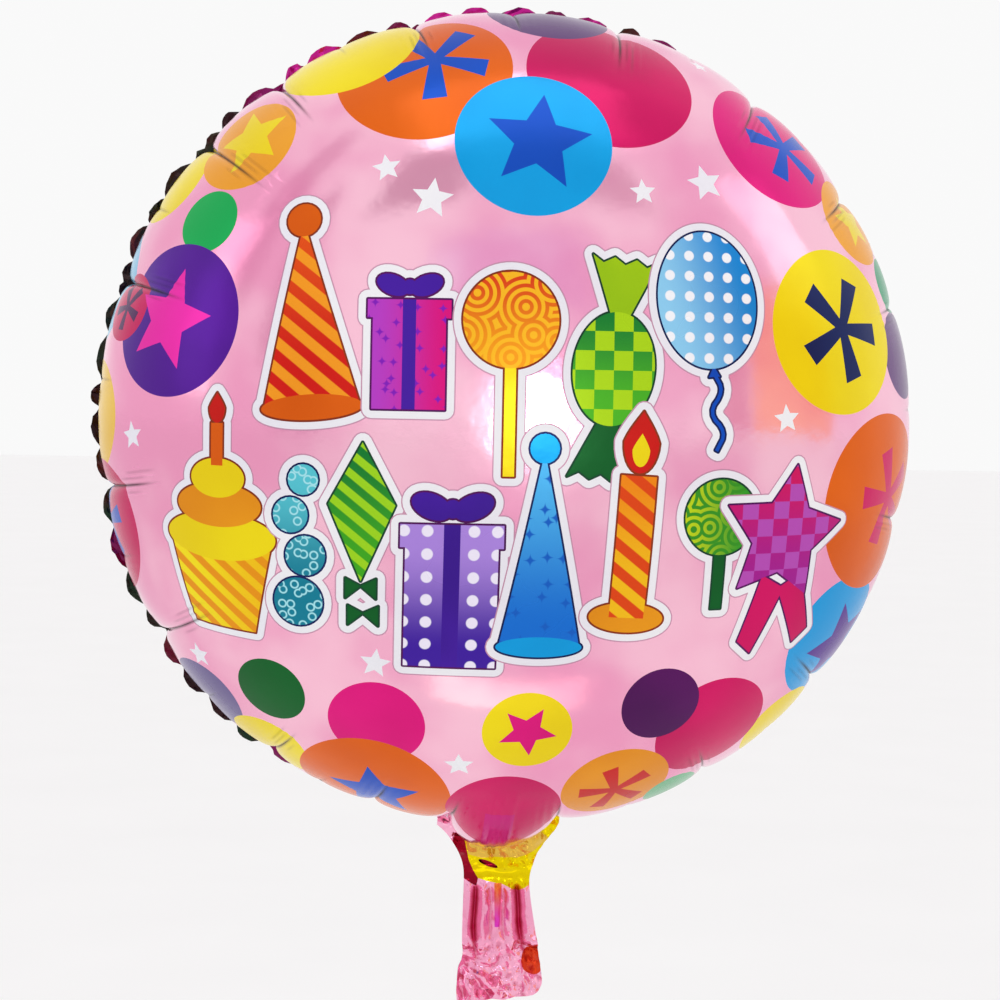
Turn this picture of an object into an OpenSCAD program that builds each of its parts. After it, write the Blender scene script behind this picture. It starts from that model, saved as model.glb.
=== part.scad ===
// Round foil party balloon, inflated, with its flat neck, filling tail and self-sealing valve.
// The origin is the middle of the neck's crease, where a ribbon is tied and where the tail
// folds. +Z points up to the envelope, and the printed front faces -Y. Sizes are millimetres.

/* [Envelope] */
// Diameter of the flat film disc before filling, cut edge to cut edge
flat_d = 457; // [300:1:560]
// Width of the seam margin outside the weld line
seam_w = 5; // [3:0.5:8]
// Drawn thickness of the foil film
film_t = 0.4; // [0.3:0.05:0.5]
// Number of crimps that the seam margin gathers into
crimps = 66; // [40:2:90]
// Depth of the scallop that each crimp leaves in the cut edge
crimp_depth = 1.4; // [0.4:0.1:2.5]

/* [Neck and tail] */
// Height of the neck, from the crease up to the weld line
neck_h = 24; // [16:1:30]
// Width of the neck at the crease
neck_w = 28; // [26:1:40]
// Width of the neck where it runs into the seam
neck_top_w = 50; // [44:1:60]
// Length of the tail below the crease
tail_l = 54; // [35:1:80]
// Width of the tail's open end
tail_end_w = 36; // [30:1:46]
// Width of the weld along each side of the neck and tail
side_weld_w = 3; // [2:0.5:4]
// Number of lengthwise flutes that the tail is gathered into
flutes = 5; // [3:1:7]
// Depth of each flute
flute_depth = 0.8; // [0.4:0.1:0.9]

/* [Filling hole and valve] */
// Diameter of the hole that a filling nozzle goes into
hole_d = 8; // [5:0.5:8.5]
// Width of the valve sleeve
valve_w = 24; // [20:1:26]
// Length of the valve sleeve
valve_l = 95; // [50:1:120]
// Drawn thickness of each valve film
valve_t = 0.3; // [0.2:0.05:0.35]
// Width of the seal along each side of the valve sleeve
valve_seal_w = 6; // [3:0.5:7]

/* [Hidden] */
$fn = 180;

// A flat disc that can't stretch shrinks to flat radius / FLAT_PER_INFLATED when it is filled.
FLAT_PER_INFLATED = 1.31103;
weld_r = (flat_d / 2 - seam_w) / FLAT_PER_INFLATED;
centre_z = neck_h + weld_r;

profile_steps = 30;       // straight pieces in the dome's half profile
edge_steps = 8;           // straight pieces along a flared side of the neck or tail
points_per_crimp = 4;
points_per_flute = 8;
film_gap = 0.7;           // from the middle plane to the inside of a neck or tail film
crease_h = 2.4;           // height over which the films are pinched flat, above and below the crease
fold_gap = 1;             // between the neck's lower edge and the tail's upper edge
valve_gap = 0.05;         // from the middle plane to the inside of a valve film
anchor_z = neck_h - 4;    // foot of the valve films
anchor_h = 1.2;           // height of the weld that anchors them
bead_t = 0.1;             // how far the valve's side seals stand proud
notch_clear = 1.2;        // room round the valve where it passes the weld line
flare_start = 0.55;       // share of the tail's length above its flared end
corner_r = 4;             // size of the tail's and the valve's corners
hole_z = crease_h + film_t + hole_d / 2 + 0.6;
outer_y = film_gap + film_t;

// Stands a front outline up and gives it thickness from y0 to y1.
module upright(y0, y1) {
    translate([0, y1, 0])
        rotate([90, 0, 0])
            linear_extrude(height = y1 - y0)
                children();
}

// ---- Envelope ----

// Angle of the profile at step i: 0 at the weld line, 90 at the middle of the panel.
function slope(i) = 90 * i / profile_steps;
function profile_r(i) = weld_r * sqrt(cos(slope(i)));
function profile_y(i) =
    i == 0 ? 0 : profile_y(i - 1) + weld_r * PI / (4 * profile_steps) * sqrt(cos(slope(i - 0.5)));

// Half of a film dome: the profile outside, and the same profile film_t further in.
module dome_profile() {
    outside = [for (i = [0:profile_steps]) [profile_r(i), profile_y(i)]];
    inside = [
        for (i = [profile_steps:-1:0])
            [max(0, profile_r(i) - film_t * cos(slope(i))), profile_y(i) - film_t * sin(slope(i))]
    ];
    polygon(concat(outside, inside));
}

// The dome that faces -Y, with half of the slot that the valve passes through.
module front_dome() {
    difference() {
        translate([0, 0, centre_z])
            rotate([90, 0, 0])
                rotate_extrude()
                    dome_profile();
        translate([-valve_w / 2 - notch_clear, -notch_clear, neck_h - notch_clear])
            cube([valve_w + 2 * notch_clear, 2 * notch_clear, 4 * notch_clear]);
    }
}

module front_panel() color("pink") front_dome();

module back_panel() color("hotpink") mirror([0, 1, 0]) front_dome();

// Cut edge of the seam margin at angle a, scalloped once for each crimp.
function edge_r(a) = weld_r + seam_w - crimp_depth * (1 - abs(sin(a * crimps / 2)));

// The crimped margin, left open where the neck runs into it.
module rim_seam() {
    steps = crimps * points_per_crimp;
    color("mediumvioletred")
        upright(-film_t, film_t)
            difference() {
                translate([0, centre_z])
                    polygon([
                        for (i = [0:steps - 1])
                            edge_r(360 * i / steps) * [cos(360 * i / steps), sin(360 * i / steps)]
                    ]);
                translate([0, centre_z])
                    circle(r = weld_r);
                translate([-neck_top_w / 2, neck_h - 2 * seam_w])
                    square([neck_top_w, 4 * seam_w]);
            }
}

// ---- Neck ----

// Half width of the neck at height z: it flares like a trumpet up to the seam.
function neck_half(z) =
    neck_w / 2 + (neck_top_w - neck_w) / 2 * pow(min(1, z / neck_h), 2);

// Outline of the open part of the neck, up to the weld line and drawn in by inset at both sides.
module neck_outline(inset) {
    top = neck_h + seam_w;
    heights = [for (i = [0:edge_steps]) crease_h + (neck_h - crease_h) * i / edge_steps];
    right = [for (z = concat(heights, [top])) [neck_half(z) - inset, z]];
    left = [for (z = concat([top], [for (i = [edge_steps:-1:0]) heights[i]])) [inset - neck_half(z), z]];
    difference() {
        polygon(concat(right, left));
        translate([0, centre_z])
            circle(r = weld_r);
    }
}

// The front film beside the crease: pinched flat from height z0, then stepping out to full depth.
module pinched_film(z0) {
    half = neck_w / 2 - side_weld_w;
    upright(-film_t, 0)
        translate([-half, z0])
            square([2 * half, crease_h + film_t - z0]);
    upright(-outer_y, 0)
        translate([-half, crease_h])
            square([2 * half, film_t]);
}

// The side welds beside the crease, pinched flat from height z0.
module pinched_welds(z0) {
    for (x = [-neck_w / 2, neck_w / 2 - side_weld_w])
        upright(-film_t, film_t)
            translate([x, z0])
                square([side_weld_w, crease_h + film_t - z0]);
}

module neck_front_film() {
    color("gold")
        difference() {
            union() {
                upright(-outer_y, -film_gap) neck_outline(side_weld_w);
                pinched_film(0);
            }
            translate([0, 0, hole_z])
                rotate([90, 0, 0])
                    cylinder(d = hole_d, h = 4 * outer_y, center = true);
        }
}

module neck_back_film() {
    color("hotpink")
        mirror([0, 1, 0]) {
            upright(-outer_y, -film_gap) neck_outline(side_weld_w);
            pinched_film(0);
        }
}

module neck_side_welds() {
    color("palevioletred") {
        upright(-outer_y, outer_y)
            difference() {
                neck_outline(0);
                neck_outline(side_weld_w);
            }
        pinched_welds(0);
    }
}

// ---- Tail, drawn upwards from the crease and then mirrored to hang down ----

// Half width of the tail at distance z from the crease: straight, then flared at the open end.
function tail_half(z) =
    neck_w / 2 + (tail_end_w - neck_w) / 2 * pow(max(0, z / tail_l - flare_start) / (1 - flare_start), 2);

// Outline of the open part of the tail, drawn in by inset at both sides.
module tail_outline(inset) {
    sides = [for (i = [0:edge_steps]) crease_h + (tail_l - corner_r - crease_h) * i / edge_steps];
    corner = tail_end_w / 2 - corner_r;
    right = [for (z = sides) [tail_half(z) - inset, z]];
    left = [for (i = [edge_steps:-1:0]) [inset - tail_half(sides[i]), sides[i]]];
    polygon(concat(right, [[corner, tail_l], [-corner, tail_l]], left));
}

// Distance of the fluted film from the middle plane at x: one outward ridge for each flute.
flute_span = neck_w - 2 * side_weld_w;
function flute_y(x) =
    film_gap + flute_depth * (1 - cos(360 * flutes * (x / flute_span + 0.5))) / 2;

// Cross-section of the fluted front film, seen from above.
module fluted_section() {
    half = tail_end_w / 2;
    steps = flutes * points_per_flute;
    ridges = [for (i = [0:steps]) flute_span * (i / steps - 0.5)];
    inner = [for (x = ridges) [x, -flute_y(x)]];
    outer = [for (i = [steps:-1:0]) [ridges[i], -flute_y(ridges[i]) - film_t]];
    polygon(concat(
        [[-half, -film_gap]], inner, [[half, -film_gap], [half, -outer_y]], outer, [[-half, -outer_y]]
    ));
}

module tail_film() {
    mirror([0, 0, 1]) {
        intersection() {
            linear_extrude(height = tail_l) fluted_section();
            upright(-2 * outer_y, 0) tail_outline(side_weld_w);
        }
        pinched_film(fold_gap);
    }
}

module tail_front_film() color("lightpink") tail_film();

module tail_back_film() color("hotpink") mirror([0, 1, 0]) tail_film();

module tail_side_welds() {
    color("palevioletred")
        mirror([0, 0, 1]) {
            upright(-outer_y, outer_y)
                difference() {
                    tail_outline(0);
                    tail_outline(side_weld_w);
                }
            pinched_welds(fold_gap);
        }
}

// ---- Valve ----

// Outline of one valve film, with its two free corners rounded.
module valve_outline() {
    half = valve_w / 2;
    translate([-half, anchor_z])
        square([valve_w, valve_l - corner_r]);
    translate([corner_r - half, anchor_z])
        square([valve_w - 2 * corner_r, valve_l]);
    for (x = [corner_r - half, half - corner_r])
        translate([x, anchor_z + valve_l - corner_r])
            circle(r = corner_r);
}

// The flat front film with a raised seal bead down each side.
module valve_film() {
    upright(-valve_gap - valve_t, -valve_gap)
        valve_outline();
    for (x = [-valve_w / 2, valve_w / 2 - valve_seal_w])
        translate([x, -valve_gap - valve_t - bead_t, anchor_z + seam_w])
            cube([valve_seal_w, 2 * bead_t, valve_l - seam_w - corner_r]);
}

module valve_front_film() color("whitesmoke") valve_film();

module valve_back_film() color("whitesmoke") mirror([0, 1, 0]) valve_film();

// Strips that weld the valve's foot to the inside of each neck film.
module valve_anchor_welds() {
    color("gray")
        for (side = [0, 1])
            mirror([0, side, 0])
                translate([-valve_w / 2, -film_gap, anchor_z])
                    cube([valve_w, film_gap - valve_gap - valve_t, anchor_h]);
}

front_panel();
back_panel();
rim_seam();
neck_front_film();
neck_back_film();
neck_side_welds();
tail_front_film();
tail_back_film();
tail_side_welds();
valve_front_film();
valve_back_film();
valve_anchor_welds();
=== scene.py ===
"""Round foil party balloon: its printed film, seam, neck and tail, with light and camera.

The print is laid out on the flat film in millimetres, u to the right and v up from the middle
of the disc, and is carried onto the blown-up shape. Everything else is in metres.
"""

import math

import bpy
import numpy as np
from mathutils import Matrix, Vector
from mathutils.geometry import delaunay_2d_cdt


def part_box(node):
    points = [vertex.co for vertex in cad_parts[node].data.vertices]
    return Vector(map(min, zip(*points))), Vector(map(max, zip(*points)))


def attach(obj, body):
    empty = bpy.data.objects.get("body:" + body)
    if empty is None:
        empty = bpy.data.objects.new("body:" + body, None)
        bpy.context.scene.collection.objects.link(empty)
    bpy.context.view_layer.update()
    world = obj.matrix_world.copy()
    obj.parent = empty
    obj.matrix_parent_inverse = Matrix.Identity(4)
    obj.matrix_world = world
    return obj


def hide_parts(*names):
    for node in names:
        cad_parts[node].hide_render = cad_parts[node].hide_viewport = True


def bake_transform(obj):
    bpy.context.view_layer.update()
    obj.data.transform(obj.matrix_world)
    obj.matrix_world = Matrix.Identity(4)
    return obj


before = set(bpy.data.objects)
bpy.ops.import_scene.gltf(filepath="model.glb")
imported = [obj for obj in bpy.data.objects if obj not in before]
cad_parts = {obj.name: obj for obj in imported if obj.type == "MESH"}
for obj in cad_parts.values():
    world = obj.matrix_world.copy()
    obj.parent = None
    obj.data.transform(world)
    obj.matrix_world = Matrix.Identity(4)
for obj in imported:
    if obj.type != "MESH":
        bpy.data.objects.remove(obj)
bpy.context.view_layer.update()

MM = 0.001


# ---- The blown-up shape -----------------------------------------------------------------------

panel_lo, panel_hi = (np.array(corner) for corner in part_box("front_panel"))
seam_lo, seam_hi = (np.array(corner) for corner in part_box("rim_seam"))
tail_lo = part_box("tail_side_welds")[0]

WELD_R = (panel_hi[0] - panel_lo[0]) / 2
CENTRE_Z = (panel_hi[2] + panel_lo[2]) / 2
SEAM_W = (seam_hi[0] - seam_lo[0]) / 2 - WELD_R
TAIL_L = -tail_lo[2]
CRIMPS = 66
PROFILE_STEPS = 4000

# A disc of film that can't stretch takes this profile: at slope p from the weld line, the
# radius is WELD_R * sqrt(cos p), and the radius of curvature is WELD_R / (2 * sqrt(cos p)).
slopes = np.linspace(0, math.pi / 2, PROFILE_STEPS + 1)
radii = WELD_R * np.sqrt(np.maximum(np.cos(slopes), 0))
half_steps = (slopes[1:] + slopes[:-1]) / 2
depths = np.concatenate(
    [[0], np.cumsum(np.sqrt(np.cos(half_steps)) * np.diff(slopes))]
) * (WELD_R / 2)
lengths = np.concatenate([[0], np.cumsum(np.hypot(np.diff(radii), np.diff(depths)))])
FLAT_R = lengths[-1]

# Creases that run in from the seam: degrees clockwise from the top, depth and length in mm.
CREASES = [
    (-1, 2.2, 42), (14, 3.0, 58), (25, 1.0, 30), (36, 3.8, 62), (45, 0.9, 26), (55, 3.6, 58),
    (64, 1.0, 32), (72, 3.0, 48), (87, 1.2, 36), (103, 3.2, 52), (115, 1.0, 30), (129, 3.4, 58),
    (139, 0.9, 28), (150, 3.2, 50), (162, 1.1, 30), (172.6, 4.2, 46), (188, 4.2, 46),
    (199, 3.0, 46), (207, 0.9, 28), (215, 3.2, 48), (227, 1.0, 30), (238, 3.8, 60),
    (250, 1.0, 30), (260, 3.4, 58), (275, 0.9, 30), (289, 3.8, 62), (300, 1.1, 32),
    (311, 4.0, 68), (324, 4.0, 58), (334, 0.9, 30), (345, 3.2, 50),
]
CREASE_HALF_W = 1.3 * MM  # of the sharp bottom
SHOULDER_HALF_W = 9 * MM  # of the soft hollow round it
CREASE_END, SHOULDER_END = 1.15, 1.5  # where the two have faded out, as shares of the length
CREASE_REACH = 40 * MM  # beyond which a crease moves nothing
MIN_TURN_R = 50 * MM  # keeps creases from closing up near the dome's middle
WRINKLE_PITCH = 3.6 * MM  # of the ripples at a crease's inner end
WRINKLE_ASIDE = 3 * MM
WRINKLE_HALF_W = 7 * MM
LINE_HALF_W, STROKE_HALF_W = 0.6 * MM, 0.5 * MM  # of a crease's dark line and its side strokes, both painted shade
LINE_FADE_FROM, LINE_FADE = 0.8, 0.4  # shares of the length
STROKE_FADE_IN, STROKE_FADE_OUT = 0.1, 0.14
STROKE_SHADE = 0.32
FULL_SHADE_DEPTH = 2.4  # mm: a crease this deep or deeper has a fully dark line of painted shade
PILLOW = 1.2 * MM  # how far the film bulges between the creases
PILLOW_RISE, PILLOW_FROM, PILLOW_FALL = 12 * MM, 20 * MM, 50 * MM
NECK_LOBE = 10.6 * MM  # how far the film hangs down over the neck
NECK_LOBE_FADE = 60 * MM
NECK_LOBE_HALF_ANGLE = math.radians(8.2)
NECK_LOBE_SKEW = 0.16
MOUTH_GAP = 1.2 * MM  # half of what the films part by at the neck
MOUTH_FADE = 8 * MM
VALVE_HALF_W = 6 * MM  # the faint outline of the valve under the front film
VALVE_MIDDLE = -4 * MM
VALVE_RISE = 0.4 * MM
VALVE_TOP = 60 * MM
VALVE_EDGE, VALVE_END, VALVE_PITCH = 2 * MM, 12 * MM, 4 * MM
SEAM_WAVE = 0.35 * MM
SEAM_WAVE_FADE = 6 * MM


def smooth(x):
    x = np.clip(x, 0, 1)
    return x * x * (3 - 2 * x)


def turned(angle, centre):
    """The angle from centre to angle, from -pi to pi."""
    return (angle - centre + math.pi) % (2 * math.pi) - math.pi


def crease_push(angle, radius, t):
    """How far creases and the pillows between them move the film out, t inside the weld line."""
    push = PILLOW * smooth(t / PILLOW_RISE) * (1 - smooth((t - PILLOW_FROM) / PILLOW_FALL))
    for k, (degrees, depth, length) in enumerate(CREASES):
        off = turned(angle, math.radians(degrees)) * np.maximum(radius, MIN_TURN_R)
        near = np.abs(off) < CREASE_REACH
        if not near.any():
            continue
        off, run, depth, length = off[near], t[near], depth * MM, length * MM
        sharp = np.exp(-np.abs(off) / CREASE_HALF_W) * (1 - smooth(run / (CREASE_END * length)))
        wide = np.exp(-np.abs(off) / SHOULDER_HALF_W) * (1 - smooth(run / (SHOULDER_END * length)))
        aside = off - (WRINKLE_ASIDE if k % 2 else -WRINKLE_ASIDE)
        ripple = (
            np.cos(2 * math.pi * aside / WRINKLE_PITCH + k)
            * np.exp(-((aside / WRINKLE_HALF_W) ** 2))
            * np.exp(-(((run - 0.9 * length) / (0.28 * length)) ** 2))
        )
        push[near] -= depth * (0.75 * sharp + 0.75 * wide + 0.06 * ripple)
    return push


def painted_shade_strokes(k):
    """Painted shade of fine wrinkles beside the inner end of a long crease, as dark strokes: mm
    aside, and start and end shares.
    """
    depth, length = CREASES[k][1:]
    if depth < 2 or length < 47:  # a short or shallow crease has none
        return []
    way = 1 if k % 2 else -1
    return [(3.1 * way, 0.62, 1.06), (5.7 * way, 0.72, 1.16), (-3.4 * way, 0.7, 0.98)]


def crease_painted_shade(angle, s, t):
    """How close a point is to the sharp bottom of a crease or to its strokes, as painted shade: 1
    in it, 0 clear of it.
    """
    core = np.zeros_like(angle)
    for k, (degrees, depth, length) in enumerate(CREASES):
        off = turned(angle, math.radians(degrees)) * s
        run = t / (length * MM)
        line = np.exp(-((off / LINE_HALF_W) ** 2))
        line *= 1 - smooth((run - LINE_FADE_FROM) / LINE_FADE)
        core = np.maximum(core, min(depth / FULL_SHADE_DEPTH, 1) * line)
        for aside, start, end in painted_shade_strokes(k):
            stroke = np.exp(-(((off - aside * MM) / STROKE_HALF_W) ** 2))
            stroke *= smooth((run - start) / STROKE_FADE_IN)
            stroke *= smooth((end - run) / STROKE_FADE_OUT)
            core = np.maximum(core, STROKE_SHADE * stroke)
    return core


def neck_lobe(angle):
    """1 over the middle of the neck, falling to 0 at its corners, fullest left of the middle."""
    off = turned(angle, math.pi) / NECK_LOBE_HALF_ANGLE
    off = off - NECK_LOBE_SKEW * np.clip(1 - off**2, 0, None)
    return np.clip(1 - np.abs(off) ** 2.4, 0, None)


def film_point(u, v, back=False):
    """Where flat film point (u, v), in metres, lies on the front or the back dome."""
    s = np.hypot(u, v)
    t = np.clip(FLAT_R - s, 0, None)
    angle = np.arctan2(-u if back else u, v)
    radius, depth, slope = (np.interp(t, lengths, table) for table in (radii, depths, slopes))
    push = crease_push(angle, radius, t)
    lobe = neck_lobe(angle)
    push += NECK_LOBE * lobe * (1 - smooth(t / NECK_LOBE_FADE))
    if not back:
        aside = u - VALVE_MIDDLE
        rise = 1 - smooth((np.abs(aside) - VALVE_HALF_W) / VALVE_EDGE + 0.5)
        rise *= (1 - smooth((t - VALVE_TOP) / VALVE_END + 0.5)) * (v < 0)
        push += VALVE_RISE * rise * (1 + 0.3 * np.cos(2 * math.pi * aside / VALVE_PITCH))
    radial = radius + push * np.cos(slope)
    axial = depth + push * np.sin(slope) + MOUTH_GAP * lobe * np.exp(-t / MOUTH_FADE)
    wave = SEAM_WAVE * np.sin(CRIMPS * angle) * np.exp(-t / SEAM_WAVE_FADE)
    return np.stack(
        [
            radial * np.sin(angle),
            (axial if back else -axial) + wave,
            CENTRE_Z + radial * np.cos(angle),
        ],
        -1,
    )


# ---- Outlines on the flat film, in mm ---------------------------------------------------------

EDGE_STEP = 1.8
ROUNDED_OVER, ROUND_STEP = 0.3, 0.45  # radians: corners sharper than the first are rounded


def disc(u, v, r, ry=None, turn=0):
    """A disc, or an ellipse of half sizes r and ry turned by some degrees."""
    ry = ry or r
    n = max(20, int(2 * math.pi * max(r, ry) / EDGE_STEP))
    a = np.linspace(0, 2 * math.pi, n, endpoint=False)
    return spun(np.stack([r * np.cos(a), ry * np.sin(a)], -1), turn) + (u, v)


def spun(points, degrees):
    """The points turned anticlockwise about (0, 0)."""
    c, s = math.cos(math.radians(degrees)), math.sin(math.radians(degrees))
    return np.asarray(points, float) @ np.array([[c, s], [-s, c]])


def star(u, v, r, turn=0, inner=0.46):
    a = np.radians(90 + turn + 36 * np.arange(10))
    reach = np.where(np.arange(10) % 2, inner * r, r)
    return np.stack([u + reach * np.cos(a), v + reach * np.sin(a)], -1)


def burst(ink, u, v, r, turn=0):
    """Five arms that widen outwards from the middle, with their ink."""
    arm = [(-0.09 * r, 0), (0.09 * r, 0), (0.22 * r, r), (-0.22 * r, 0.96 * r)]
    return [(ink, spun(arm, turn + 72 * k) + (u, v)) for k in range(5)]


def box(u0, v0, u1, v1):
    return np.array([(u0, v0), (u1, v0), (u1, v1), (u0, v1)], float)


def drop(u, v, w, h):
    """A flame: round at the foot and pointed at the top."""
    a = np.linspace(0, 2 * math.pi, 28, endpoint=False)
    narrow = np.where(np.sin(a) > 0, (1 - np.sin(a)) ** 0.6, 1)
    return np.stack([u + w / 2 * np.cos(a) * narrow, v + h / 2 * np.sin(a)], -1)


def area(points):
    x, y = points[:, 0], points[:, 1]
    return 0.5 * float((x * np.roll(y, -1) - y * np.roll(x, -1)).sum())


def grown(points, by):
    """The outline moved out by a distance, with round corners."""
    points = points if area(points) > 0 else points[::-1]
    out = []
    for before, here, after in zip(np.roll(points, 1, 0), points, np.roll(points, -1, 0)):
        into, away = here - before, after - here
        n1 = np.array([into[1], -into[0]]) / np.hypot(*into)
        n2 = np.array([away[1], -away[0]]) / np.hypot(*away)
        corner = math.atan2(n1[0] * n2[1] - n1[1] * n2[0], n1 @ n2)
        if corner > ROUNDED_OVER:
            first = math.atan2(n1[1], n1[0])
            for a in np.linspace(first, first + corner, 2 + int(corner / ROUND_STEP)):
                out.append(here + by * np.array([math.cos(a), math.sin(a)]))
        else:
            out.append(here + by * (n1 + n2) / (1 + n1 @ n2))
    return np.array(out)


def stepped(points, step=2.2):
    """The outline with points added so that no side is longer than step."""
    out = []
    for here, after in zip(points, np.roll(points, -1, 0)):
        n = max(1, math.ceil(np.hypot(*(after - here)) / step))
        out += [here + (after - here) * k / n for k in range(n)]
    return np.array(out)


def inside(points, outline):
    """Which of the points lie inside the outline."""
    hit = np.zeros(len(points), bool)
    x, y = points[:, 0], points[:, 1]
    for (x0, y0), (x1, y1) in zip(outline, np.roll(outline, -1, 0)):
        if y0 != y1:
            crosses = (y0 > y) != (y1 > y)
            hit ^= crosses & (x < x0 + (y - y0) * (x1 - x0) / (y1 - y0))
    return hit


# ---- The print: (ink, outline) pairs, painted in order ----------------------------------------

HALO_W = 3.6
HALO_EDGE_W = 0.5
KEYLINE_W = 0.8
STICK_HALF_W = 2.2
TOOTH_H = 2.6


def motif(u, v, keyline, parts, turn=0):
    """One ornament at (u, v): a white halo, a thin dark line, and then its coloured parts."""
    parts = [(ink, spun(outline, turn) + (u, v)) for ink, outline in parts]
    return (
        [("halo_edge", grown(outline, HALO_W + HALO_EDGE_W)) for ink, outline in parts]
        + [("white", grown(outline, HALO_W)) for ink, outline in parts]
        + [(keyline, grown(outline, KEYLINE_W)) for ink, outline in parts]
        + parts
    )


def bow(v, w, ink):
    """Two loops and a knot."""
    return [
        (ink, disc(-0.45 * w, v, 0.45 * w, 0.27 * w, -22)),
        (ink, disc(0.45 * w, v, 0.45 * w, 0.27 * w, 22)),
        (ink, disc(0, v - 0.05 * w, 0.2 * w)),
    ]


def rounded(points, times=2):
    """An open line with its corners cut, keeping its ends."""
    points = np.asarray(points, float)
    for _ in range(times):
        a, b = points[:-1], points[1:]
        cut = np.stack([0.75 * a + 0.25 * b, 0.25 * a + 0.75 * b], 1).reshape(-1, 2)
        points = np.concatenate([points[:1], cut, points[-1:]])
    return points


def fan(low, high, half):
    """The end of a sweet's wrapper, opening upwards to a zigzag edge."""
    top = [(half * (1 - k / 3), high - (TOOTH_H if k % 2 else 0)) for k in range(7)]
    return np.array([(-STICK_HALF_W, low), (STICK_HALF_W, low)] + top, float)


def band(line, half):
    """A ribbon of the given half width along a line."""
    line = np.asarray(line, float)
    along = np.gradient(line, axis=0)
    side = np.stack([along[:, 1], -along[:, 0]], -1)
    side *= half / np.linalg.norm(side, axis=1)[:, None]
    return np.concatenate([line + side, (line - side)[::-1]])


def gift(half, low, lid, high, box_ink, ribbon_ink):
    """A parcel with a wider lid, a ribbon and a bow."""
    return [
        (box_ink, box(-half + 2, low, half - 2, lid)),
        (box_ink, box(-half, lid, half, high)),
        (ribbon_ink, box(-0.16 * half, low, 0.16 * half, high)),
    ] + bow(high + 0.35 * half, 0.9 * half, ribbon_ink)


def hat(half, low, high, ink, trim_ink):
    """A cone with a rim and a bobble."""
    return [
        (ink, np.array([(-half, low), (half, low), (0, high)])),
        (trim_ink, disc(0, low, half + 1, 0.26 * half)),
        (trim_ink, disc(0, high + 1, 0.36 * half)),
    ]


def lollipop(r, v, low, ink, stick_ink):
    return [(stick_ink, box(-STICK_HALF_W, low, STICK_HALF_W, v - r + 3)), (ink, disc(0, v, r))]


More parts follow.
